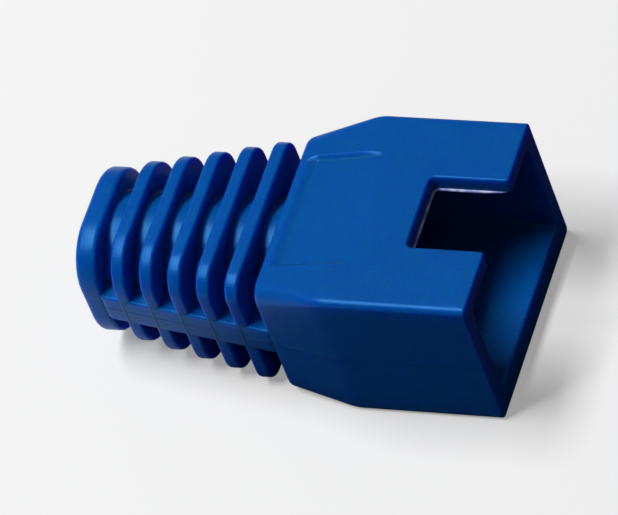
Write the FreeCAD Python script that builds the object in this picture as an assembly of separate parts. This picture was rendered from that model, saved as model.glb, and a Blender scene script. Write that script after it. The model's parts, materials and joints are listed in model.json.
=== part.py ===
import FreeCAD, Part
import math
import os

# Slip-on strain relief boot for an eight-way modular network plug, moulded in
# one piece from soft vinyl.  All lengths are in millimetres.
#
# Frame: the boot lies on its plain broad face.  X runs along the cable, with
# the open mouth at +X and the ribbed tail at -X.  Y runs across the width and
# Z is up.  The origin is the middle of the footprint, at the resting face.

# Body, which slips over the back of the plug.
body_width = 14.0
body_height = 9.8
straight_length = 9.0
taper_length = 4.4
rib_end_width = 12.1
rib_end_drop = 0.8
body_corner_radius = 0.4
rib_end_corner_radius = 1.1
rib_end_bevel = 0.25

# Socket for the plug.
side_wall = 1.1
notched_wall = 1.1
plain_wall = 1.75
socket_depth = 11.0
socket_corner_radius = 0.4

# Notch that clears the plug's latch.
notch_width = 5.1
notch_length = 4.75

# Shallow finger panels on the two broad faces.
panel_width = 8.0
panel_length = 4.8
panel_from_ribs = 0.8
panel_depth = 0.22
panel_corner_radius = 0.5

# Ribbed tail.
gap_count = 6
gap_width = 1.11
rib_thickness = 0.82
collar_thickness = 1.35
collar_width = 8.4
collar_height = 8.2
collar_corner_radius = 3.0
collar_bevel = 0.3
rib_bevel = 0.24
axis_height = 4.65
core_radius = 3.4
spine_thickness = 2.0
cable_bore_radius = 2.8

# Lengths that follow from the sizes above.
body_length = straight_length + taper_length
rib_pitch = gap_width + rib_thickness
tail_length = gap_count * gap_width + (gap_count - 1) * rib_thickness + collar_thickness
total_length = body_length + tail_length
mouth_x = total_length / 2.0
shoulder_x = mouth_x - straight_length
rib_end_x = mouth_x - body_length
collar_x = rib_end_x - tail_length + collar_thickness
tail_end_x = rib_end_x - tail_length
rib_end_height = body_height - rib_end_drop
collar_low = axis_height - collar_height / 2.0
collar_high = axis_height + collar_height / 2.0


def rounded_section(x, width, bottom, top, radius):
    """Rounded rectangle across the X axis: eight edges, straight ones first in each pair."""
    half = width / 2.0
    turn = radius * math.sqrt(0.5)
    low = bottom + radius
    high = top - radius
    inner = half - radius
    flat_ends = [
        ((-inner, bottom), (inner, bottom)),
        ((half, low), (half, high)),
        ((inner, top), (-inner, top)),
        ((-half, high), (-half, low)),
    ]
    corner_mids = [
        (inner + turn, low - turn),
        (inner + turn, high + turn),
        (-inner - turn, high + turn),
        (-inner - turn, low - turn),
    ]
    edges = []
    for index in range(4):
        start, end = flat_ends[index]
        following = flat_ends[(index + 1) % 4][0]
        middle = corner_mids[index]
        a = FreeCAD.Vector(x, start[0], start[1])
        b = FreeCAD.Vector(x, end[0], end[1])
        c = FreeCAD.Vector(x, middle[0], middle[1])
        d = FreeCAD.Vector(x, following[0], following[1])
        edges.append(Part.LineSegment(a, b).toShape())
        edges.append(Part.Arc(b, c, d).toShape())
    return edges


def block_between(far_edges, near_edges):
    """Solid between two rounded sections, flat wherever the sections are straight."""
    faces = [Part.Face(Part.Wire(far_edges)), Part.Face(Part.Wire(near_edges))]
    for index in range(8):
        far = far_edges[index]
        near = near_edges[index]
        if index % 2 == 0:
            a = far.valueAt(far.FirstParameter)
            b = far.valueAt(far.LastParameter)
            c = near.valueAt(near.LastParameter)
            d = near.valueAt(near.FirstParameter)
            faces.append(Part.Face(Part.makePolygon([a, b, c, d, a])))
        else:
            faces.append(Part.makeRuledSurface(far, near))
    shell = Part.makeShell(faces)
    shell.sewShape()
    solid = Part.makeSolid(shell)
    if solid.Volume < 0.0:
        solid.reverse()
    return solid


def body_section(x, inset):
    """Section of the drawn-in part of the body, made smaller all round by an inset."""
    share = (shoulder_x - x) / taper_length
    width = body_width + (rib_end_width - body_width) * share
    high = body_height - rib_end_drop * share
    radius = body_corner_radius + (rib_end_corner_radius - body_corner_radius) * share
    return rounded_section(x, width - 2.0 * inset, inset, high - inset, radius - inset)


def make_body():
    """Outer block: straight from the mouth, drawn in towards the ribs, then bevelled."""
    outline = Part.Face(Part.Wire(body_section(shoulder_x, 0.0)))
    straight = outline.extrude(FreeCAD.Vector(straight_length, 0, 0))
    bevel_x = rib_end_x + rib_end_bevel
    taper = block_between(body_section(bevel_x, 0.0), body_section(shoulder_x, 0.0))
    bevel = block_between(body_section(rib_end_x, rib_end_bevel), body_section(bevel_x, 0.0))
    return straight.fuse([taper, bevel])


def bevel_rim(solid, x, size):
    """Bevels the outer edge loop of a plate where it meets the plane at x."""
    chosen = []
    for edge in solid.Edges:
        box = edge.BoundBox
        if abs(box.XMin - x) < 1e-4 and abs(box.XMax - x) < 1e-4:
            chosen.append(edge)
    return solid.makeChamfer(size, chosen)


def tail_section(x):
    """Section of the tail at a place along the cable."""
    share = (rib_end_x - x) / tail_length
    low = collar_low * share
    high = rib_end_height + (collar_high - rib_end_height) * share
    width = rib_end_width + (collar_width - rib_end_width) * share
    radius = rib_end_corner_radius + (collar_corner_radius - rib_end_corner_radius) * share
    return Part.Wire(rounded_section(x, width, low, high, radius))


def tail_plate(x_low, x_high, low_bevel, high_bevel):
    """Plate of the tail between two planes, with both outer rims bevelled.

    Its outline is the tail's section halfway along the plate.
    """
    middle = (x_low + x_high) / 2.0
    outline = tail_section(middle)
    outline.translate(FreeCAD.Vector(x_low - middle, 0, 0))
    plate = Part.Face(outline).extrude(FreeCAD.Vector(x_high - x_low, 0, 0))
    plate = bevel_rim(plate, x_low, low_bevel)
    return bevel_rim(plate, x_high, high_bevel)


def make_ribs():
    """Ribs across the tail, counted from the body outwards."""
    ribs = []
    for index in range(gap_count - 1):
        near = rib_end_x - gap_width - index * rib_pitch
        ribs.append(tail_plate(near - rib_thickness, near, rib_bevel, rib_bevel))
    return ribs


def make_spine():
    """Flat band down both narrow sides, level with the tips of the ribs."""
    far_x = collar_x - collar_thickness / 2.0
    near_x = rib_end_x + taper_length / 2.0
    slope = (rib_end_width - collar_width) / 2.0 / tail_length
    near_half = rib_end_width / 2.0
    far_half = near_half - slope * (rib_end_x - far_x)
    low = axis_height - spine_thickness / 2.0
    outline = Part.makePolygon([
        FreeCAD.Vector(far_x, -far_half, low),
        FreeCAD.Vector(rib_end_x, -near_half, low),
        FreeCAD.Vector(near_x, -near_half, low),
        FreeCAD.Vector(near_x, near_half, low),
        FreeCAD.Vector(rib_end_x, near_half, low),
        FreeCAD.Vector(far_x, far_half, low),
        FreeCAD.Vector(far_x, -far_half, low),
    ])
    return Part.Face(outline).extrude(FreeCAD.Vector(0, 0, spine_thickness))


def make_core():
    """Round tube wall that carries the ribs, from the body to the collar."""
    start = FreeCAD.Vector(collar_x - collar_thickness / 2.0, 0.0, axis_height)
    length = rib_end_x + taper_length / 4.0 - start.x
    return Part.makeCylinder(core_radius, length, start, FreeCAD.Vector(1, 0, 0))


def make_collar():
    """Thicker end plate, with its outer rim bevelled more than its inner."""
    return tail_plate(tail_end_x, collar_x, collar_bevel, rib_bevel)


def make_socket():
    """Rectangular hollow for the plug, open at the mouth."""
    width = body_width - 2.0 * side_wall
    low = plain_wall
    high = body_height - notched_wall
    inner_x = mouth_x - socket_depth
    outline = Part.Wire(rounded_section(inner_x, width, low, high, socket_corner_radius))
    return Part.Face(outline).extrude(FreeCAD.Vector(socket_depth + 1.0, 0, 0))


def make_latch_notch():
    """Slot through the notched wall, open at the mouth."""
    low = body_height - notched_wall - socket_corner_radius
    corner = FreeCAD.Vector(mouth_x - notch_length, -notch_width / 2.0, low)
    return Part.makeBox(notch_length + 1.0, notch_width, body_height - low + 1.0, corner)


def make_bore():
    """Round way for the cable, from just inside the socket out through the collar."""
    start = FreeCAD.Vector(tail_end_x - 1.0, 0.0, axis_height)
    length = mouth_x - 0.98 * socket_depth - start.x
    return Part.makeCylinder(cable_bore_radius, length, start, FreeCAD.Vector(1, 0, 0))


def make_panel(face_z, end_z, inward):
    """Shallow wedge that is deepest at its rib side and runs out to nothing.

    face_z is the height of the broad face at the panel's mouth side and end_z
    its height at the rib side; inward is -1 for the top face, +1 for the other.
    """
    rib_side = rib_end_x + panel_from_ribs
    mouth_side = rib_side + panel_length
    away = -inward * 2.0
    floor = end_z + inward * panel_depth
    profile = Part.makePolygon([
        FreeCAD.Vector(rib_side, -body_width, floor),
        FreeCAD.Vector(mouth_side, -body_width, face_z),
        FreeCAD.Vector(mouth_side, -body_width, face_z + away),
        FreeCAD.Vector(rib_side, -body_width, face_z + away),
        FreeCAD.Vector(rib_side, -body_width, floor),
    ])
    wedge = Part.Face(profile).extrude(FreeCAD.Vector(0, 2.0 * body_width, 0))
    corner = FreeCAD.Vector(rib_side, -panel_width / 2.0, min(face_z, end_z) - 3.0)
    block = Part.makeBox(panel_length, panel_width, 6.0 + abs(face_z - end_z), corner)
    uprights = []
    for edge in block.Edges:
        box = edge.BoundBox
        if box.ZLength > 1.0:
            uprights.append(edge)
    block = block.makeFillet(panel_corner_radius, uprights)
    return block.common(wedge)


def height_of_notched_face(x):
    """Height of the sloping broad face at a place along the taper."""
    share = (shoulder_x - x) / taper_length
    return body_height - max(0.0, share) * rib_end_drop


def make_boot():
    """The whole moulding as one solid."""
    boot = make_body().fuse([make_core(), make_spine(), make_collar()] + make_ribs())
    boot = boot.cut([make_socket(), make_latch_notch(), make_bore()])
    rib_side = rib_end_x + panel_from_ribs
    top_panel = make_panel(body_height, height_of_notched_face(rib_side), -1.0)
    low_panel = make_panel(0.0, 0.0, 1.0)
    boot = boot.cut([top_panel, low_panel])
    return boot.removeSplitter()


boot = make_boot()
print("solids", len(boot.Solids), "valid", boot.isValid(), "volume", round(boot.Volume, 2))
print("box", boot.BoundBox)
os.makedirs("parts", exist_ok=True)
boot.Solids[0].exportStep("parts/boot.step")
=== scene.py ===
import json
import math

import bmesh
import bpy
import numpy as np
from bpy.props import FloatProperty, FloatVectorProperty, IntProperty, PointerProperty
from mathutils import Matrix, Vector


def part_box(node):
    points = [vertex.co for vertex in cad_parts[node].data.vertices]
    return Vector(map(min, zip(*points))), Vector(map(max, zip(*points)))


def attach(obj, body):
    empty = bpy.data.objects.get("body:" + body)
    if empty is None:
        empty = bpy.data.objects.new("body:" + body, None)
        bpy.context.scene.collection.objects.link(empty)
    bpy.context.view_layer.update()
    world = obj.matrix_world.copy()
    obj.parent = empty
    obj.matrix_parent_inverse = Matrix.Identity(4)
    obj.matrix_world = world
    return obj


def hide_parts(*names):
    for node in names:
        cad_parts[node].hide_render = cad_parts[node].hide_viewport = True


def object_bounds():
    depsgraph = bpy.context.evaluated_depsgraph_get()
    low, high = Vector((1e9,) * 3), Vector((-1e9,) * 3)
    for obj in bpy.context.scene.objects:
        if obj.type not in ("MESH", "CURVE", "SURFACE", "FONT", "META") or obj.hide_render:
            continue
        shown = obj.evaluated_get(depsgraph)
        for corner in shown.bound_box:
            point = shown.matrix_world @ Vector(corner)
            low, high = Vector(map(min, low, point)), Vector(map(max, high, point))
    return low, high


bl_info = {
    "name": "Strain Relief Boot",
    "version": (1, 0, 0),
    "blender": (4, 5, 0),
    "location": "View3D > Sidebar > Boot",
    "description": "Moulded vinyl boot for a modular network plug, with its studio stage",
    "category": "Add Mesh",
}

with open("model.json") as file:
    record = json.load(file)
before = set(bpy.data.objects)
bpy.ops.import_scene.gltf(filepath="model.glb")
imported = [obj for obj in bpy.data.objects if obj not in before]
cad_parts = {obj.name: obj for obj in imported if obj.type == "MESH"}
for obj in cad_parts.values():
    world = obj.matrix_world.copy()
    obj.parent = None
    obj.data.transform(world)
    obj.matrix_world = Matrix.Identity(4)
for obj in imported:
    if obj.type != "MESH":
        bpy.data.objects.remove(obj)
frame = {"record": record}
CAD_LOW, CAD_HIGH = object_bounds()
BOOT_LOW, BOOT_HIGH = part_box("boot")
CABLE_BORE = next(m for m in frame["record"]["mounts"] if m["name"] == "cable_bore")

MM = 0.001


# ---------------------------------------------------------------- sizes

def length(name, description, default_mm):
    """A length property, written in millimetres and kept in metres."""
    return FloatProperty(
        name=name, description=description, default=default_mm * MM,
        min=0.0, unit="LENGTH", subtype="DISTANCE", precision=5,
    )


class BootBodySizes(bpy.types.PropertyGroup):
    """Sizes of the hollow body that slips over the plug."""

    straight: length("Straight length", "Mouth to the shoulder where the body narrows", 9.0)
    taper: length("Taper length", "Shoulder to the face that the ribs start from", 4.4)
    end_width: length("Rib end width", "Width of the body where the ribs start", 12.1)
    end_drop: length("Rib end drop", "How far the notched face slopes down to the ribs", 0.8)
    corner: length("Corner radius", "Radius of the long edges at the mouth", 0.4)
    end_corner: length("Rib end corner radius", "Radius of the long edges at the ribs", 1.1)
    end_round: length("Rib end rounding", "Rounding of the rim that faces the ribs", 0.3)
    shoulder_blend: length("Shoulder blend", "Half length of the bend at the shoulder", 0.5)
    side_wall: length("Side wall", "Wall at the two narrow sides", 1.1)
    notched_wall: length("Notched wall", "Wall with the latch notch", 1.1)
    plain_wall: length("Plain wall", "Wall opposite the latch notch", 1.75)
    socket_depth: length("Socket depth", "Mouth to the back of the socket", 11.0)
    socket_corner: length("Socket corner radius", "Radius in the corners of the socket", 0.4)
    lip_round: length("Lip rounding", "Rounding of the edges of the mouth and notch", 0.13)
    notch_width: length("Notch width", "Width of the latch notch", 5.1)
    notch_length: length("Notch length", "Length of the latch notch from the mouth", 4.75)
    panel_width: length("Panel width", "Width of the shallow finger panels", 8.0)
    panel_length: length("Panel length", "Length of the shallow finger panels", 4.8)
    panel_gap: length("Panel from ribs", "Body's rib end to the panel's wall", 0.8)
    panel_depth: length("Panel depth", "Depth of the panels at their rib side", 0.22)
    panel_corner: length("Panel corner radius", "Radius of the panels' corners", 0.5)
    flash: length("Flash", "Radius of the bead where the mould shuts off at the notch", 0.1)
    seam_height: length("Parting ridge", "How proud the mould's parting line stands", 0.02)


class BootTailSizes(bpy.types.PropertyGroup):
    """Sizes of the ribbed tail that holds the cable."""

    gaps: IntProperty(
        name="Gaps", description="Number of gaps between the ribs", default=6, min=2,
    )
    gap: length("Gap width", "Clear width between two ribs", 1.11)
    rib: length("Rib thickness", "Thickness of a rib along the cable", 0.82)
    collar: length("Collar thickness", "Thickness of the end plate", 1.35)
    collar_width: length("Collar width", "Width of the end plate", 8.4)
    collar_height: length("Collar height", "Height of the end plate", 8.2)
    collar_corner: length("Collar corner radius", "Corner radius of the end plate", 3.0)
    collar_round: length("Collar rounding", "Rounding of the end plate's outer rim", 0.35)
    tip_round: length("Rib tip rounding", "Rounding along both rims of a rib", 0.16)
    core: length("Core radius", "Radius of the tube that carries the ribs", 3.4)
    root_round: length("Root fillet", "Fillet where a rib meets the tube", 0.16)
    spine: length("Spine thickness", "Height of the band down both narrow sides", 2.0)
    spine_round: length("Spine rounding", "Rounding of the band's long edges", 0.14)


class BootFinish(bpy.types.PropertyGroup):
    """Colour of the vinyl."""

    deep: FloatVectorProperty(
        name="Deep colour", description="sRGB colour of the thicker streaks of pigment",
        default=(0.0, 0.304, 0.600), subtype="COLOR_GAMMA", min=0.0, max=1.0,
    )
    clear: FloatVectorProperty(
        name="Clear colour", description="sRGB colour of the thinner streaks of pigment",
        default=(0.004, 0.330, 0.632), subtype="COLOR_GAMMA", min=0.0, max=1.0,
    )


def in_mm(group):
    """The lengths of a property group as a plain dictionary in millimetres."""
    out = {}
    for name in group.__annotations__:
        value = getattr(group, name)
        out[name] = value / MM if isinstance(value, float) else value
    return out


def places():
    """The two groups of sizes and the boot's main stations, all in millimetres.

    The stations come from the CAD box, the bore's mount and the sizes.
    """
    body = in_mm(bpy.context.scene.boot_body)
    tail = in_mm(bpy.context.scene.boot_tail)
    at = {}
    at["mouth"] = BOOT_HIGH[0] / MM
    at["tail_end"] = BOOT_LOW[0] / MM
    at["half_width"] = BOOT_HIGH[1] / MM
    at["top"] = BOOT_HIGH[2] / MM
    at["axis"] = CABLE_BORE["pos_m"][2] / MM
    at["bore"] = CABLE_BORE["dims"]["r_mm"]
    at["shoulder"] = at["mouth"] - body["straight"]
    at["rib_end"] = at["shoulder"] - body["taper"]
    at["back"] = at["mouth"] - body["socket_depth"]
    at["collar"] = at["tail_end"] + tail["collar"]
    return body, tail, at


# ---------------------------------------------------------------- surfaces

# Turns through a corner of a ring, in degrees, and over a rounded rim, in radians.
CORNER_STEPS = np.linspace(0.0, 90.0, 9)[1:-1]
QUARTER = np.radians(np.linspace(0.0, 90.0, 7))

# The lengths from here to the functions are too small to be worth a setting.  They are
# in millimetres.

# Points closer than this are one point.
WELD = 0.0005

# A ring this far past a rounded rim keeps the flat beyond it flat.
BODY_HOLD = 0.06
TAIL_HOLD = 0.1

# How far outside the bore the hidden inner ends of the body and of a rib stop.
BODY_ROOT = 0.3
RIB_ROOT = 0.25

# Parting ridge: its half width, the stations beside it, and how far from it the
# stations on a narrow side stay put.
SEAM_WIDTH = 0.045
SEAM_STEPS = [0.02, 0.045, 0.075, 0.12]
SEAM_HOLD = 0.6

# Stations over a broad face, outwards from its middle.  The notch's side ends at the
# first and its outer corner at the second.  From the third to the fourth they crowd
# together, for the long walls of the finger panels.
SIDE_END, CORNER_END, CROWD_START, CROWD_END = 3.1, 3.25, 3.4, 4.4

# Corners of the latch notch in plan, and how far the stations over its inner corner
# reach past its side.
NOTCH_INNER, NOTCH_OUTER, NOTCH_PAST = 0.35, 0.2, 0.05

# How far behind the notch's end the last plain ring of the body lies.
NOTCH_HOLD = 0.75

# Width of a finger panel's wall along its long sides, and how much wider it is at the
# rib side.
PANEL_WALL, PANEL_WALL_MORE = 0.28, 0.42

# How far the rings that follow a finger panel reach: before its rib side, behind it,
# and past its mouth side.
PANEL_BEFORE, PANEL_BEHIND, PANEL_PAST = 0.42, 0.6, 0.2

# How far past a panel's long sides its wall may reach.
PANEL_MARGIN = 0.3

# How much of a panel's wall is straight and how much is rounded off at its two ends.
RAMP_STRAIGHT, RAMP_ROUND = 0.7, 0.3

# Rounding where the socket's walls meet its back.
BACK_ROUND = 0.3

# How far short of the mouth the flash ends, and how far past the notch's side it may
# turn with the outer corner.
FLASH_SHORT, FLASH_TURN = 0.15, 0.05

# Rounding of the collar's inner rim and of the bore's edge.
COLLAR_INNER_ROUND = 0.25
BORE_ROUND = 0.12

# The tube's inner end: how far past the socket's back it stands, how wide and how long
# its opened edge is, and a point on the way round that edge.
TUBE_END = 0.04
TUBE_OPEN = 0.12
TUBE_STEP_BACK, TUBE_STEP_UP = 0.04, 0.03

# Stations along each straight side of a ring of the tail.
TAIL_STATIONS = 15

# Spine: how proud of the line between the body and the collar its tip stands, how far
# it dips in at the collar's rim and over what half length, and how far its root flares.
SPINE_PROUD = 0.02
SPINE_DIP, SPINE_DIP_HALF = 0.2, 0.25
SPINE_FLARE = 0.12

# How far from the middle the spine's flat back lies, inside the tube's wall.
SPINE_BACK = 2.95


def rounded(radius):
    """Steps over a rounded rim: how far along it they lie and how far they draw in."""
    return [(radius * (1.0 - math.cos(a)), radius * (1.0 - math.sin(a))) for a in QUARTER]


def both_ways(steps):
    """Stations at equal distances on both sides of nought, with nought between them."""
    return np.array([-step for step in reversed(steps)] + [0.0] + steps)


def ring_of(low_y, right_z, top_y, left_z, half, low, high, radius):
    """Rounded rectangle, anticlockwise, and its outward normals, each (columns, 2).

    Straight runs hold the given stations and a corner is its centre plus the radius
    times (cos a, sin a), with a going through a quarter turn.
    """
    points = []
    normals = []
    runs = (
        (low_y, None, low, (0, -1)), (None, right_z, half, (1, 0)),
        (top_y, None, high, (0, 1)), (None, left_z, -half, (-1, 0)),
    )
    centres = (
        (half - radius, low + radius, -90), (half - radius, high - radius, 0),
        (radius - half, high - radius, 90), (radius - half, low + radius, 180),
    )
    for (along_y, along_z, level, normal), (cy, cz, start) in zip(runs, centres):
        if along_z is None:
            points.append(np.stack([along_y, np.full_like(along_y, level)], axis=1))
        else:
            points.append(np.stack([np.full_like(along_z, level), along_z], axis=1))
        normals.append(np.tile(np.array(normal, float), (len(points[-1]), 1)))
        turn = np.radians(start + CORNER_STEPS)
        out = np.stack([np.cos(turn), np.sin(turn)], axis=1)
        points.append(np.array([cy, cz]) + radius * out)
        normals.append(out)
    return np.concatenate(points), np.concatenate(normals)


def at_x(x, ring):
    """Puts a (columns, 2) ring of Y and Z at a station or stations along X."""
    return np.concatenate([np.broadcast_to(x, len(ring))[:, None], ring], axis=1)


def circle_facing(ring, axis, radius):
    """The circle's point in the direction of each point of a ring, seen from the axis."""
    away = ring - np.array([0.0, axis])
    away = away / np.linalg.norm(away, axis=1, keepdims=True)
    return np.array([0.0, axis]) + radius * away


def grid_faces(rows, columns, closed):
    """Quads of a grid that closes round its columns, and round its rows if asked."""
    index = np.arange(rows * columns).reshape(rows, columns)
    if closed:
        index = np.concatenate([index, index[:1]])
    right = np.roll(index, -1, axis=1)
    quads = np.stack([index[:-1], right[:-1], right[1:], index[1:]], axis=-1)
    return quads.reshape(-1, 4)


def make_piece(name, grids, material, closed=True):
    """One mesh piece from a list of (rows, columns, 3) grids in millimetres.

    A grid closes round its columns.  It closes round its rows too, unless its first and
    last rings are points.
    """
    points = []
    faces = []
    start = 0
    for grid in grids:
        rows, columns = grid.shape[:2]
        faces.append(grid_faces(rows, columns, closed) + start)
        points.append(grid.reshape(-1, 3))
        start += rows * columns
    mesh = bpy.data.meshes.new(name)
    mesh.from_pydata((np.concatenate(points) * MM).tolist(), [], np.concatenate(faces).tolist())
    work = bmesh.new()
    work.from_mesh(mesh)
    bmesh.ops.remove_doubles(work, verts=work.verts, dist=WELD * MM)
    bmesh.ops.recalc_face_normals(work, faces=work.faces)
    work.to_mesh(mesh)
    work.free()
    mesh.shade_smooth()
    mesh.materials.append(material)
    piece = bpy.data.objects.new(name, mesh)
    bpy.context.scene.collection.objects.link(piece)
    weighted = piece.modifiers.new("flat faces stay flat", "WEIGHTED_NORMAL")
    weighted.weight = 80
    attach(piece, "root")
    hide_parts("boot")
    return piece


# ---------------------------------------------------------------- body

def stretch(station, x, y, dx, dy):
    """One stretch of half the top edge: five equal rows, from arrays or single numbers."""
    return np.stack([np.broadcast_to(row, len(station)) for row in (station, x, y, dx, dy)])


def notch_half(body, at):
    """Half of the top edge's stations, from the middle outwards, and the lip's plan there.

    Its rows are the station on the body, then the lip's x and y and the direction in
    plan that leaves the vinyl: over the notch's end wall, round its inner corner, along
    its side, round its outer corner and on along the mouth.
    """
    half = body["notch_width"] / 2.0
    mouth = at["mouth"]
    end = mouth - body["notch_length"]
    wall = np.linspace(0.0, half - NOTCH_INNER, 8)[:-1]
    side = np.linspace(end + NOTCH_INNER, mouth - NOTCH_OUTER, 10)[1:-1]
    rest = np.linspace(half + NOTCH_OUTER, CROWD_START, 4)[1:]
    bend = np.radians(np.linspace(180.0, 90.0, 7))
    turn = np.radians(np.linspace(-90.0, 0.0, 7))
    past = half + NOTCH_PAST
    return np.concatenate([
        stretch(wall, end, wall, 1.0, 0.0),
        stretch(
            np.linspace(half - NOTCH_INNER, past, 7),
            end + NOTCH_INNER + NOTCH_INNER * np.cos(bend),
            half - NOTCH_INNER + NOTCH_INNER * np.sin(bend), -np.cos(bend), -np.sin(bend),
        ),
        stretch(np.linspace(past, SIDE_END, 10)[1:-1], side, half, 0.0, -1.0),
        stretch(
            np.linspace(SIDE_END, CORNER_END, 7),
            mouth - NOTCH_OUTER + NOTCH_OUTER * np.cos(turn),
            half + NOTCH_OUTER + NOTCH_OUTER * np.sin(turn), np.cos(turn), np.sin(turn),
        ),
        stretch(np.linspace(CORNER_END, CROWD_START, 4)[1:], mouth, rest, 1.0, 0.0),
    ], axis=1)


def whole_edge(half_edge):
    """Both halves of the top edge, from the rows of one: station, x, y, dx and dy."""
    signs = (-1.0, 1.0, -1.0, 1.0, -1.0)
    return [np.concatenate([row[::-1], sign * row[1:]]) for row, sign in zip(half_edge, signs)]


def body_stations(body, at):
    """Stations round the body's section at the mouth, and the lip's plan over the top."""
    corner = body["corner"]
    seam = at["axis"]
    outwards = np.concatenate([
        np.linspace(CROWD_START, CROWD_END, 21)[1:],
        np.linspace(CROWD_END, at["half_width"] - corner, 6)[1:],
    ])
    half_edge = [notch_half(body, at), stretch(outwards, at["mouth"], outwards, 1.0, 0.0)]
    top, *plan = whole_edge(np.concatenate(half_edge, axis=1))
    plain = np.concatenate([np.linspace(0.0, CROWD_START, 9), outwards])
    low = np.concatenate([-plain[::-1], plain[1:]])
    side = np.concatenate([
        np.linspace(corner, seam - SEAM_HOLD, 5)[:-1],
        seam + both_ways(SEAM_STEPS + [0.25, SEAM_HOLD]),
        np.linspace(seam + SEAM_HOLD, at["top"] - corner, 5)[1:],
    ])
    return low, side, top, np.stack(plan, axis=1)


def body_ring(stations, at, body, half, low, high, radius):
    """Ring of the body with its middle stations held and its outer ones spread to fit."""
    corner = body["corner"]
    reach = at["half_width"] - corner
    inner = half - radius
    seam = (at["axis"] - SEAM_HOLD, at["axis"] + SEAM_HOLD)
    low_y, side_z, top_y, _ = stations
    wide = ((-reach, -CROWD_END, CROWD_END, reach), (-inner, -CROWD_END, CROWD_END, inner))
    tall = ((corner, *seam, at["top"] - corner), (low + radius, *seam, high - radius))
    right = np.interp(side_z, *tall)
    return ring_of(
        np.interp(low_y, *wide), right, np.interp(top_y, *wide), right[::-1],
        half, low, high, radius,
    )


def narrowing(x, body, at):
    """Share of the taper done at x: nought before the shoulder, one at the ribs.

    A straight ramp whose start is a parabola twice the blend long, so that the
    surface bends softly at the shoulder.
    """
    past = at["shoulder"] - x
    blend = body["shoulder_blend"]
    soft = (past + blend) ** 2 / (4.0 * blend)
    ramp = np.where(past > blend, past, np.where(past < -blend, 0.0, soft))
    return ramp / body["taper"]


def outer_ring(x, inset, stations, body, at):
    """Ring of the body's outside at x, drawn in all round by an inset."""
    share = float(narrowing(x, body, at))
    half = at["half_width"] - (at["half_width"] - body["end_width"] / 2.0) * share
    high = at["top"] - body["end_drop"] * share
    radius = body["corner"] + (body["end_corner"] - body["corner"]) * share
    return body_ring(stations, at, body, half - inset, inset, high - inset, radius - inset)


def panel_mask(x, y, body, at):
    """One inside the finger panel and nought outside, over a soft wall.

    The distance to a rounded rectangle goes through a ramp that is wider at the rib
    side than along the panel's long sides, with its two ends rounded off.
    """
    along = body["panel_length"] / 2.0
    across = body["panel_width"] / 2.0
    radius = body["panel_corner"]
    px = np.abs(x - (at["rib_end"] + body["panel_gap"] + along)) - along + radius
    py = np.abs(y) - across + radius
    over_x = np.maximum(px, 0.0) ** 2
    over_y = np.maximum(py, 0.0) ** 2
    distance = np.sqrt(over_x + over_y) + np.minimum(np.maximum(px, py), 0.0) - radius
    width = PANEL_WALL + PANEL_WALL_MORE * over_x / np.maximum(over_x + over_y, 1e-9)
    step = np.clip(0.5 - distance / width, 0.0, 1.0)
    return RAMP_STRAIGHT * step + RAMP_ROUND * step * step * (3.0 - 2.0 * step)


def sink_panels(ring, body, at):
    """Sinks both broad faces to a flat floor that runs out towards the mouth."""
    x, y, z = ring[:, 0], ring[:, 1], ring[:, 2]
    start = at["rib_end"] + body["panel_gap"]
    depth = body["panel_depth"]
    share = np.clip((x - start) / body["panel_length"], 0.0, 1.0)
    mask = panel_mask(x, y, body, at)
    start_top = at["top"] - body["end_drop"] * float(narrowing(start, body, at))
    floor = start_top - depth + (at["top"] - start_top + depth) * share
    top_depth = np.maximum(z - floor, 0.0) * mask
    low_depth = depth * (1.0 - share) * mask
    upper = z > at["axis"]
    broad = np.abs(y) < body["panel_width"] / 2.0 + PANEL_MARGIN
    z = np.where(broad & upper, z - top_depth, z)
    z = np.where(broad & ~upper, z + low_depth, z)
    return np.stack([x, y, z], axis=1)


def ridge(away, body):
    """Height of the parting ridge at a distance from the parting line: a Gaussian."""
    return body["seam_height"] * np.exp(-((away / SEAM_WIDTH) ** 2))


def raise_seam(ring, normals, body, at):
    """Raises the mould's parting line on the narrow sides."""
    lifted = ring.copy()
    lifted[:, 1] += ridge(ring[:, 2] - at["axis"], body) * normals[:, 0]
    lifted[:, 1] = np.clip(lifted[:, 1], -at["half_width"], at["half_width"])
    return lifted


def rib_end_rows(stations, body, at):
    """The face that the ribs start from, from inside the tube's wall out over its rim."""
    start = at["rib_end"]
    rim = body["end_round"]
    face, _ = outer_ring(start, rim, stations, body, at)
    held, _ = outer_ring(start, rim + BODY_HOLD, stations, body, at)
    rows = [at_x(start, circle_facing(face, at["axis"], at["bore"] + BODY_ROOT))]
    rows.append(at_x(start, held))
    for along, inset in rounded(rim):
        ring, _ = outer_ring(start + along, inset, stations, body, at)
        rows.append(at_x(start + along, ring))
    return rows


def outside_rows(stations, body, at):
    """The body's outside with its finger panels, as far as their mouth side."""
    start = at["rib_end"]
    wall = start + body["panel_gap"]
    bend_start = at["shoulder"] - body["shoulder_blend"]
    bend_end = at["shoulder"] + body["shoulder_blend"]
    along = np.concatenate([
        [start + body["end_round"] + BODY_HOLD],
        np.linspace(wall - PANEL_BEFORE, wall + PANEL_BEHIND, 21),
        np.linspace(wall + PANEL_BEHIND, bend_start, 7)[1:],
        np.linspace(bend_start, bend_end, 9)[1:],
        np.linspace(bend_end, wall + body["panel_length"] + PANEL_PAST, 9)[1:],
    ])
    rows = []
    for x in along:
        ring, normals = outer_ring(x, 0.0, stations, body, at)
        rows.append(raise_seam(sink_panels(at_x(x, ring), body, at), normals, body, at))
    return rows


def socket_ring(stations, inset, body, at):
    """Ring of the socket, drawn in all round by an inset."""
    return body_ring(
        stations, at, body, at["half_width"] - body["side_wall"] - inset,
        body["plain_wall"] + inset, at["top"] - body["notched_wall"] - inset,
        body["socket_corner"] - inset,
    )


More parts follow.
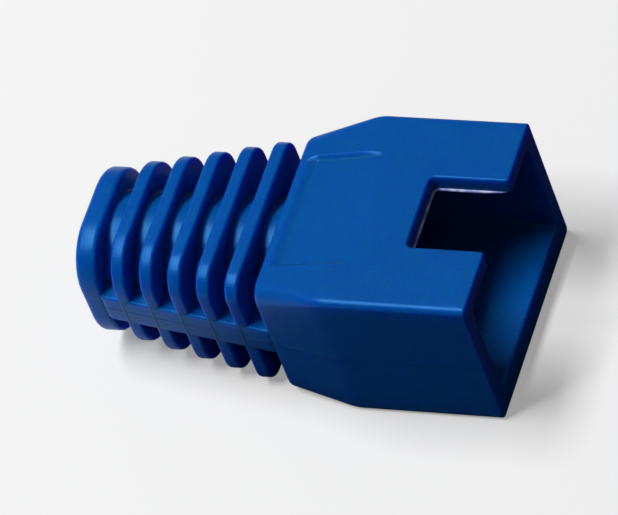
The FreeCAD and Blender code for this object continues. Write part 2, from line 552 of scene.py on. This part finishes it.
def lip_rows(stations, body, at):
    """The rest of the outside, the lip of the mouth and notch, and the socket's walls.

    The lip is a quarter circle from the outside's normal to the direction that leaves
    the vinyl, and another from there to the socket's normal.
    """
    plan = stations[3]
    hold_x = at["mouth"] - body["notch_length"] - NOTCH_HOLD
    outside, normals = outer_ring(hold_x, 0.0, stations, body, at)
    inside, facing = socket_ring(stations, 0.0, body, at)
    top_first = len(stations[0]) + len(stations[1]) + 2 * len(CORNER_STEPS)
    on_top = slice(top_first, top_first + len(plan))
    direction = np.tile(np.array([1.0, 0.0, 0.0]), (len(outside), 1))
    direction[on_top, :2] = plan[:, 2:]
    out_lip = at_x(at["mouth"], outside)
    out_lip[on_top, :2] = plan[:, :2]
    out_lip = raise_seam(out_lip, normals, body, at)
    in_lip = at_x(at["mouth"], inside)
    follows = np.abs(plan[:, 1]) < CROWD_END
    in_lip[on_top][follows, :2] = plan[follows, :2]
    r = body["lip_round"]
    held = raise_seam(at_x(hold_x, outside), normals, body, at)
    edge = out_lip - r * direction
    # Shares of the way from the last plain ring to the lip, and back from it inside.
    rows = [held]
    rows += [held + (edge - held) * share for share in (0.35, 0.7, 0.97)]
    over = ((out_lip, at_x(0.0, normals), QUARTER), (in_lip, -at_x(0.0, facing), QUARTER[::-1]))
    for lip, normal, turn in over:
        for a in turn:
            arc = normal * math.cos(a) + direction * math.sin(a)
            rows.append(lip - r * (direction + normal) + r * arc)
    behind = at_x(hold_x, inside)
    edge = in_lip - r * direction
    rows += [behind + (edge - behind) * share for share in (0.97, 0.5, 0.0)]
    return rows


def back_rows(stations, body, at):
    """The socket's back, from its rounded corner into the tube's wall."""
    rows = []
    for inset, along in rounded(BACK_ROUND):
        ring, _ = socket_ring(stations, inset, body, at)
        rows.append(at_x(at["back"] + along, ring))
    rows.append(at_x(at["back"], circle_facing(ring, at["axis"], at["bore"] + BODY_ROOT)))
    return rows


def body_grid(body, at):
    """The whole body as one grid, a ring carried from the rib end to the socket's back.

    It goes up the rib-end face, round its rim, along the outside, round the lip of the
    mouth and notch, down the socket and over its back.  The last ring joins the first
    through the wall, where the tail's tube hides it.
    """
    stations = body_stations(body, at)
    parts = (rib_end_rows, outside_rows, lip_rows, back_rows)
    return np.stack([row for part in parts for row in part(stations, body, at)])


def flash_grid(body, at):
    """Bead along the notch's inner edge: a circle carried round the notch's plan.

    Its radius grows from nought at each end of the path as the root of the sine of the
    way along, cut off at the full radius.  It hangs level with the socket's ceiling and
    rises into the wall where it thins out.
    """
    edge = notch_half(body, at)
    before_mouth = edge[1] < at["mouth"] - FLASH_SHORT
    in_notch = edge[2] < body["notch_width"] / 2.0 + FLASH_TURN
    _, x, y, dx, dy = whole_edge(edge[:, before_mouth & in_notch])
    share = np.linspace(0.0, 1.0, len(x))
    radius = body["flash"] * np.minimum(1.0, np.sqrt(4.0 * np.sin(np.pi * share)))
    z = at["top"] - body["notched_wall"] + body["flash"] - radius
    turn = np.radians(np.arange(0.0, 360.0, 30.0))
    out = radius[:, None] * np.cos(turn)
    return np.stack([
        x[:, None] + dx[:, None] * out, y[:, None] + dy[:, None] * out,
        z[:, None] + radius[:, None] * np.sin(turn),
    ], axis=2)


# ---------------------------------------------------------------- tail

def tail_ring(x, inset, body, tail, at):
    """Ring of the tail's outline at x, in proportion between the body and the collar."""
    share = (at["rib_end"] - x) / (at["rib_end"] - at["tail_end"])
    end_high = at["top"] - body["end_drop"]
    side = tail["collar_width"] / 2.0
    rise = tail["collar_height"] / 2.0
    low = (at["axis"] - rise) * share + inset
    high = end_high + (at["axis"] + rise - end_high) * share - inset
    half = body["end_width"] / 2.0 + (side - body["end_width"] / 2.0) * share - inset
    radius = body["end_corner"] + (tail["collar_corner"] - body["end_corner"]) * share - inset
    across = np.linspace(-1.0, 1.0, TAIL_STATIONS) * (half - radius)
    up = np.linspace(low + radius, high - radius, TAIL_STATIONS)
    return ring_of(across, up, across[::-1], up[::-1], half, low, high, radius)[0]


def rib_grid(x_far, x_near, body, tail, at):
    """One rib: the outline carried over a rounded tip, closed inside the tube.

    Across the rib, each rim is a quarter circle of the tip's radius.
    """
    middle = (x_far + x_near) / 2.0
    steps = rounded(tail["tip_round"])
    first = tail_ring(middle, tail["tip_round"], body, tail, at)
    held = tail_ring(middle, tail["tip_round"] + TAIL_HOLD, body, tail, at)
    root = circle_facing(first, at["axis"], at["bore"] + RIB_ROOT)
    rows = [at_x(x_far, root), at_x(x_far, held)]
    for along, inset in steps:
        rows.append(at_x(x_far + along, tail_ring(middle, inset, body, tail, at)))
    for along, inset in reversed(steps):
        rows.append(at_x(x_near - along, tail_ring(middle, inset, body, tail, at)))
    rows += [at_x(x_near, held), at_x(x_near, root)]
    return np.stack(rows)


def rib_places(tail, at):
    """The far and near face of each rib, counted from the body outwards."""
    pitch = tail["gap"] + tail["rib"]
    near = at["rib_end"] - tail["gap"] - pitch * np.arange(tail["gaps"] - 1)
    return near - tail["rib"], near


def core_grid(body, tail, at):
    """Tube and collar as one grid of rings, from the socket to the collar and back.

    The tube's radius rises beside every rib in a quarter circle, which is the moulded
    fillet.  The collar's ring is the tail's outline, rounded at both rims.
    """
    far, near = rib_places(tail, at)
    starts = np.concatenate([[at["rib_end"]], far])
    ends = np.concatenate([near, [at["collar"]]])
    middle = (at["collar"] + at["tail_end"]) / 2.0
    base = tail_ring(at["tail_end"], 0.0, body, tail, at)
    rows = []

    def tube(x, radius):
        rows.append(at_x(x, circle_facing(base, at["axis"], radius)))

    def collar(x, inset):
        rows.append(at_x(x, tail_ring(middle, inset, body, tail, at)))

    inside = at["back"] + TUBE_END
    tube(inside, at["bore"] + TUBE_OPEN)
    tube(inside, tail["core"])
    fillet = rounded(tail["root_round"])
    buried = tail["core"] + tail["root_round"]
    for start, end in zip(starts, ends):
        tube(start + TAIL_HOLD, buried)
        for along, out in fillet:
            tube(start - along, tail["core"] + out)
        for along, out in reversed(fillet):
            tube(end + along, tail["core"] + out)
        if end != at["collar"]:
            tube(end - TAIL_HOLD, buried)
    collar(at["collar"], COLLAR_INNER_ROUND + TAIL_HOLD)
    for along, inset in rounded(COLLAR_INNER_ROUND):
        collar(at["collar"] - along, inset)
    for along, inset in reversed(rounded(tail["collar_round"])):
        collar(at["tail_end"] + along, inset)
    collar(at["tail_end"], tail["collar_round"] + TAIL_HOLD)
    for along, out in rounded(BORE_ROUND):
        tube(at["tail_end"] + along, at["bore"] + out)
    tube(inside - TUBE_OPEN, at["bore"])
    tube(inside - TUBE_STEP_BACK, at["bore"] + TUBE_STEP_UP)
    return np.stack(rows)


def spine_grid(sign, body, tail, at):
    """Band down one narrow side: a rounded bar's section carried along the taper.

    The section's outer corners are quarter circles, and its tip follows the ribs' tips
    in a straight line from the body to the collar, where it dips in under the rim.  The
    parting ridge runs down its middle.
    """
    start = at["rib_end"]
    collar = at["collar"]
    # The first two stations lie inside the body and the last ones inside the collar.
    x = np.concatenate([
        [start + 0.8, start + 0.05], np.linspace(start, collar + 0.3, 38),
        np.linspace(collar + SPINE_DIP_HALF, collar - 0.5, 11),
    ])
    end_half = body["end_width"] / 2.0
    share = np.clip((start - x) / (start - at["tail_end"]), 0.0, 1.0)
    tip = end_half + (tail["collar_width"] / 2.0 - end_half) * share + SPINE_PROUD
    dipped = np.clip((collar + SPINE_DIP_HALF - x) / (2.0 * SPINE_DIP_HALF), 0.0, 1.0)
    tip -= SPINE_DIP * dipped ** 2
    half = tail["spine"] / 2.0
    r = tail["spine_round"]
    seam = both_ways(SEAM_STEPS + [0.3])
    out = np.concatenate([
        r * (np.sin(QUARTER) - 1.0), ridge(seam, body), r * (np.cos(QUARTER) - 1.0),
    ])
    up = np.concatenate([
        -half + r * (1.0 - np.cos(QUARTER)), seam, half - r * (1.0 - np.sin(QUARTER)),
    ])
    # The flare starts just outside the tube and ends inside its wall.
    root = math.sqrt(tail["core"] ** 2 - half ** 2)
    flared = half + SPINE_FLARE
    flares_y = np.array([root + SPINE_FLARE, root + 0.04, root - 0.02, root - 0.3])
    flares_z = np.array([half, half + 0.035, flared, flared])
    rows = []
    for station, reach in zip(x, tip):
        y = np.concatenate([flares_y[::-1], reach + out, flares_y])
        z = np.concatenate([-flares_z[::-1], up, flares_z])
        rows.append(np.stack([np.full_like(y, station), sign * y, at["axis"] + z], axis=1))
    return np.stack(rows)


def into_tube(grid):
    """Closes a band's grid behind, flat, inside the wall of the tube that carries it."""
    back = grid[::-1].copy()
    back[:, :, 1] = math.copysign(SPINE_BACK, grid[0, 0, 1])
    return np.concatenate([grid, back])


# ---------------------------------------------------------------- vinyl

def linear(colour):
    """An sRGB hex value such as "#0B4B95", or three sRGB shares, as linear RGBA."""
    if isinstance(colour, str):
        colour = [int(colour[i:i + 2], 16) / 255.0 for i in (1, 3, 5)]
    flat = np.array(colour, float)
    out = np.where(flat <= 0.04045, flat / 12.92, ((flat + 0.055) / 1.055) ** 2.4)
    return (*out.tolist(), 1.0)


def add_node(tree, kind, settings=None, **inputs):
    """Adds a node, sets its properties, and sets or links its named or numbered inputs."""
    node = tree.nodes.new(kind)
    for name, value in (settings or {}).items():
        setattr(node, name, value)
    for name, value in inputs.items():
        key = int(name[1:]) if name[0] == "_" else name.replace("_", " ")
        if isinstance(value, bpy.types.NodeSocket):
            tree.links.new(value, node.inputs[key])
        else:
            node.inputs[key].default_value = value
    return node


def start_material(name):
    """A new empty material, its tree, and its piece's own coordinates."""
    material = bpy.data.materials.new(name)
    material.use_nodes = True
    tree = material.node_tree
    tree.nodes.clear()
    return material, tree, add_node(tree, "ShaderNodeTexCoord").outputs["Object"]


def noise(tree, where, size, detail):
    """Soft random patches of about a size in millimetres."""
    scale = 1.0 / (size * MM)
    node = add_node(tree, "ShaderNodeTexNoise", Vector=where, Scale=scale, Detail=detail)
    return node.outputs["Fac"]


def mix_colours(tree, share, first, second):
    """A colour that goes from the first to the second with a share."""
    settings = {"data_type": "RGBA"}
    return add_node(tree, "ShaderNodeMix", settings, _0=share, _6=first, _7=second).outputs[2]


def size_of(tree, value):
    """A number without its sign."""
    return add_node(tree, "ShaderNodeMath", {"operation": "ABSOLUTE"}, _0=value).outputs[0]


def flash_vinyl_painted_highlight():
    """The same vinyl where it squeezed into the mould's joint, a hair thick.

    To the eye it is a pale, milky line. Part of that is real, because vinyl stretched this thin
    whitens, and part is a painted highlight: the colour is made paler so that the bead reads
    bright in the notch's shade.
    """
    material, tree, where = start_material("Soft vinyl flash, stress whitened")
    # Painted highlight: the pale colours, from mid blue to near white, keep the bead bright
    # even where it lies in the notch's shade. Only part of this paleness is real stress
    # whitening.
    whitening_and_highlight = add_node(
        tree, "ShaderNodeMapRange", Value=noise(tree, where, 0.6, 2.0),
        From_Min=0.35, From_Max=0.65,
    )
    colour = mix_colours(tree, whitening_and_highlight.outputs[0], linear("#7488DA"), linear("#CDD6FA"))
    shader = add_node(
        tree, "ShaderNodeBsdfPrincipled", Base_Color=colour, Roughness=0.4, IOR=1.5,
    )
    add_node(tree, "ShaderNodeOutputMaterial", Surface=shader.outputs[0])
    return material


def soft_vinyl():
    """Plasticised vinyl, injection moulded in a lightly blasted steel mould.

    To the eye it is an even, saturated blue with a broad satin sheen, never a hard
    reflection; the blasting leaves a grain that only breaks up the highlights.
    """
    name = "Soft vinyl, injection moulded, satin"
    if name in bpy.data.materials:
        return bpy.data.materials[name]
    finish = bpy.context.scene.boot_finish
    material, tree, where = start_material(name)
    # Pigment streaks about 7 mm long, barely visible.
    streaks = noise(tree, where, 7.0, 2.0)
    colour = mix_colours(tree, streaks, linear(finish.deep), linear(finish.clear))
    # Parting line: a thin, faintly darker line on the faces that look sideways.
    height = add_node(tree, "ShaderNodeSeparateXYZ", Vector=where).outputs["Z"]
    off = add_node(
        tree, "ShaderNodeMath", {"operation": "SUBTRACT"},
        _0=height, _1=places()[2]["axis"] * MM,
    )
    line = add_node(
        tree, "ShaderNodeMapRange", {"interpolation_type": "SMOOTHSTEP"},
        Value=size_of(tree, off.outputs[0]), From_Min=0.03 * MM, From_Max=0.11 * MM,
        To_Min=0.2, To_Max=0.0,
    )
    normal = add_node(tree, "ShaderNodeNewGeometry").outputs["Normal"]
    facing = add_node(tree, "ShaderNodeSeparateXYZ", Vector=normal).outputs["Y"]
    on_side = add_node(
        tree, "ShaderNodeMapRange", Value=size_of(tree, facing), From_Min=0.8, From_Max=0.95,
    )
    amount = add_node(
        tree, "ShaderNodeMath", {"operation": "MULTIPLY"},
        _0=line.outputs[0], _1=on_side.outputs[0],
    )
    lined = mix_colours(tree, amount.outputs[0], colour, linear("#04204A"))
    # Blasted grain of about 0.15 mm, and slow unevenness of about 1.5 mm.
    grain = noise(tree, where, 0.15, 2.0)
    swell = noise(tree, where, 1.5, 1.0)
    rough = add_node(
        tree, "ShaderNodeMapRange", Value=swell,
        From_Min=0.3, From_Max=0.7, To_Min=0.31, To_Max=0.37,
    )
    slow = add_node(tree, "ShaderNodeBump", Strength=0.25, Distance=0.02 * MM, Height=swell)
    fine = add_node(
        tree, "ShaderNodeBump", Strength=0.7, Distance=0.012 * MM,
        Height=grain, Normal=slow.outputs["Normal"],
    )
    # Blue goes deep into the vinyl and red hardly at all, so that shaded gaps stay
    # saturated.
    shader = add_node(
        tree, "ShaderNodeBsdfPrincipled", Base_Color=lined, Roughness=rough.outputs[0],
        IOR=1.5, Specular_Tint=linear("#54B0FA"), Specular_IOR_Level=0.42,
        Normal=fine.outputs["Normal"], Subsurface_Weight=1.0,
        Subsurface_Radius=(0.01, 0.1, 1.0), Subsurface_Scale=2.2 * MM,
    )
    add_node(tree, "ShaderNodeOutputMaterial", Surface=shader.outputs[0])
    return material


# ---------------------------------------------------------------- operators

class BOOT_OT_body(bpy.types.Operator):
    """Make the hollow body with its socket, latch notch and finger panels"""

    bl_idname = "boot.make_body"
    bl_label = "Body"

    def execute(self, context):
        body, _, at = places()
        make_piece("boot_body", [body_grid(body, at)], soft_vinyl())
        return {"FINISHED"}


class BOOT_OT_flash(bpy.types.Operator):
    """Make the bead of flash along the notch's inner edge"""

    bl_idname = "boot.make_flash"
    bl_label = "Flash"

    def execute(self, context):
        body, _, at = places()
        make_piece("boot_flash", [flash_grid(body, at)], flash_vinyl_painted_highlight(), closed=False)
        return {"FINISHED"}


class BOOT_OT_core(bpy.types.Operator):
    """Make the tube that carries the ribs, and the collar at its end"""

    bl_idname = "boot.make_core"
    bl_label = "Core and collar"

    def execute(self, context):
        make_piece("boot_core_and_collar", [core_grid(*places())], soft_vinyl())
        return {"FINISHED"}


class BOOT_OT_ribs(bpy.types.Operator):
    """Make the ribs across the tail"""

    bl_idname = "boot.make_ribs"
    bl_label = "Ribs"

    def execute(self, context):
        body, tail, at = places()
        faces = zip(*rib_places(tail, at))
        grids = [rib_grid(far, near, body, tail, at) for far, near in faces]
        make_piece("boot_ribs", grids, soft_vinyl())
        return {"FINISHED"}


class BOOT_OT_spine(bpy.types.Operator):
    """Make the flat band down each narrow side of the tail"""

    bl_idname = "boot.make_spine"
    bl_label = "Spine"

    def execute(self, context):
        grids = [into_tube(spine_grid(sign, *places())) for sign in (-1.0, 1.0)]
        make_piece("boot_spine", grids, soft_vinyl())
        return {"FINISHED"}


# ---------------------------------------------------------------- stage

VIEW_FROM = Vector((0.378, -0.564, 0.734))
VIEW_UP = Vector((-0.058, 0.777, 0.627))

# Metres: the camera's and the lamps' distance from the boot, the width that the camera
# takes in at the boot, and half the side of the floor.
DISTANCE = 0.40
FRAME_WIDTH = 0.0355
FLOOR_HALF = 2.0

# The camera's sensor, in millimetres.
SENSOR = 36.0


def stage_material(name, paper, near_bounce, far_bounce, glow):
    """Matt paper sweep: white to the camera, dimmer in what it throws back on the boot.

    What it throws back falls from one level beside the tail to another under the body,
    over 10 mm along the cable.
    """
    material, tree, where = start_material(name)
    fibres = noise(tree, where, 0.8, 3.0)
    bump = add_node(tree, "ShaderNodeBump", Strength=0.05, Distance=0.02 * MM, Height=fibres)
    normal = bump.outputs["Normal"]
    path = add_node(tree, "ShaderNodeLightPath")
    sheet = add_node(tree, "ShaderNodeBsdfDiffuse", Color=linear(paper), Normal=normal)
    light = add_node(tree, "ShaderNodeEmission", Color=linear("#FFFFFF"), Strength=glow)
    seen = add_node(tree, "ShaderNodeAddShader", _0=sheet.outputs[0], _1=light.outputs[0])
    along = add_node(tree, "ShaderNodeSeparateXYZ", Vector=where).outputs["X"]
    share = add_node(
        tree, "ShaderNodeMapRange", {"interpolation_type": "SMOOTHSTEP"},
        Value=along, From_Min=-13.0 * MM, From_Max=-3.0 * MM,
    )
    thrown = mix_colours(tree, share.outputs[0], linear(near_bounce), linear(far_bounce))
    bounced = add_node(tree, "ShaderNodeBsdfDiffuse", Color=thrown, Normal=normal)
    mix = add_node(
        tree, "ShaderNodeMixShader",
        _0=path.outputs["Is Camera Ray"], _1=bounced.outputs[0], _2=seen.outputs[0],
    )
    add_node(tree, "ShaderNodeOutputMaterial", Surface=mix.outputs[0])
    return material


def make_floor(scene):
    """The paper, just under the boot."""
    mesh = bpy.data.meshes.new("floor")
    z = float(BOOT_LOW[2]) - 0.01 * MM
    square = ((-1.0, -1.0), (1.0, -1.0), (1.0, 1.0), (-1.0, 1.0))
    corners = [(x * FLOOR_HALF, y * FLOOR_HALF, z) for x, y in square]
    mesh.from_pydata(corners, [], [(0, 1, 2, 3)])
    floor = bpy.data.objects.new("floor", mesh)
    scene.collection.objects.link(floor)
    mesh.materials.append(stage_material(
        "Matt white paper sweep", paper="#C2C2C2", near_bounce="#C4CCDA",
        far_bounce="#2E1E3A", glow=0.30,
    ))


def make_lamp(scene, name, direction, size_y, size_x, watts):
    """A softbox that looks at the boot from a direction, with its sizes along Y and X."""
    lamp = bpy.data.lights.new(name, "AREA")
    lamp.shape = "RECTANGLE"
    lamp.size = size_y
    lamp.size_y = size_x
    lamp.energy = watts
    holder = bpy.data.objects.new(name, lamp)
    away = Vector(direction).normalized()
    middle = (Vector(CAD_LOW) + Vector(CAD_HIGH)) / 2.0
    holder.location = middle + away * DISTANCE
    holder.rotation_mode = "QUATERNION"
    holder.rotation_quaternion = (-away).to_track_quat("-Z", "Y")
    scene.collection.objects.link(holder)


def make_world(scene):
    """A pale surround: white to the camera, and a weak even light to all else."""
    world = bpy.data.worlds.new("Pale studio")
    world.use_nodes = True
    tree = world.node_tree
    tree.nodes.clear()
    path = add_node(tree, "ShaderNodeLightPath")
    strength = add_node(
        tree, "ShaderNodeMapRange", Value=path.outputs["Is Camera Ray"],
        To_Min=0.11, To_Max=1.0,
    )
    sky = add_node(
        tree, "ShaderNodeBackground", Color=linear("#FFFFFF"), Strength=strength.outputs[0],
    )
    add_node(tree, "ShaderNodeOutputWorld", Surface=sky.outputs[0])
    scene.world = world


def make_camera(scene):
    """The camera, aimed at the middle of the boot's box as it sees it."""
    back = VIEW_FROM.normalized()
    up = (VIEW_UP - back * VIEW_UP.dot(back)).normalized()
    right = up.cross(back)
    corners = [
        Vector((x, y, z)) for x in (CAD_LOW[0], CAD_HIGH[0])
        for y in (CAD_LOW[1], CAD_HIGH[1]) for z in (CAD_LOW[2], CAD_HIGH[2])
    ]
    aim = Vector((0.0, 0.0, 0.0))
    for axis in (right, up, back):
        reach = [corner.dot(axis) for corner in corners]
        aim += axis * (min(reach) + max(reach)) / 2.0
    data = bpy.data.cameras.new("camera")
    data.sensor_width = SENSOR
    data.lens = SENSOR * DISTANCE / FRAME_WIDTH
    data.clip_start = 0.01
    data.clip_end = 10.0
    camera = bpy.data.objects.new("camera", data)
    scene.collection.objects.link(camera)
    turn = Matrix((right, up, back)).transposed().to_4x4()
    camera.matrix_world = Matrix.Translation(aim + back * DISTANCE) @ turn
    scene.camera = camera


class BOOT_OT_stage(bpy.types.Operator):
    """Make the floor, the lamps, the world and the camera"""

    bl_idname = "boot.make_stage"
    bl_label = "Stage"

    def execute(self, context):
        scene = context.scene
        make_floor(scene)
        make_lamp(
            scene, "strip softbox", (-0.34, -0.03, 0.94), size_y=0.26, size_x=0.10, watts=1.55,
        )
        make_lamp(
            scene, "edge lamp", (-0.378, -0.354, 0.855), size_y=0.04, size_x=0.04, watts=0.25,
        )
        make_world(scene)
        make_camera(scene)
        scene.view_settings.view_transform = "Standard"
        return {"FINISHED"}


class BOOT_PT_panel(bpy.types.Panel):
    """Lists the pieces of the boot and its stage"""

    bl_idname = "BOOT_PT_panel"
    bl_label = "Strain Relief Boot"
    bl_space_type = "VIEW_3D"
    bl_region_type = "UI"
    bl_category = "Boot"

    def draw(self, context):
        column = self.layout.column()
        for operator in OPERATORS:
            column.operator(operator.bl_idname, text=operator.bl_label)
        for group in GROUPS:
            settings = getattr(context.scene, group)
            for name in settings.__annotations__:
                column.prop(settings, name)


GROUPS = {"boot_body": BootBodySizes, "boot_tail": BootTailSizes, "boot_finish": BootFinish}
OPERATORS = (
    BOOT_OT_body, BOOT_OT_flash, BOOT_OT_core, BOOT_OT_ribs, BOOT_OT_spine, BOOT_OT_stage,
)
CLASSES = (*GROUPS.values(), *OPERATORS, BOOT_PT_panel)


def register():
    for cls in CLASSES:
        bpy.utils.register_class(cls)
    for name, group in GROUPS.items():
        setattr(bpy.types.Scene, name, PointerProperty(type=group))


def unregister():
    for name in GROUPS:
        delattr(bpy.types.Scene, name)
    for cls in reversed(CLASSES):
        bpy.utils.unregister_class(cls)


def main():
    """Makes every piece and the stage."""
    register()
    bpy.ops.boot.make_body()
    bpy.ops.boot.make_flash()
    bpy.ops.boot.make_core()
    bpy.ops.boot.make_ribs()
    bpy.ops.boot.make_spine()
    bpy.ops.boot.make_stage()


if __name__ == "__main__":
    main()
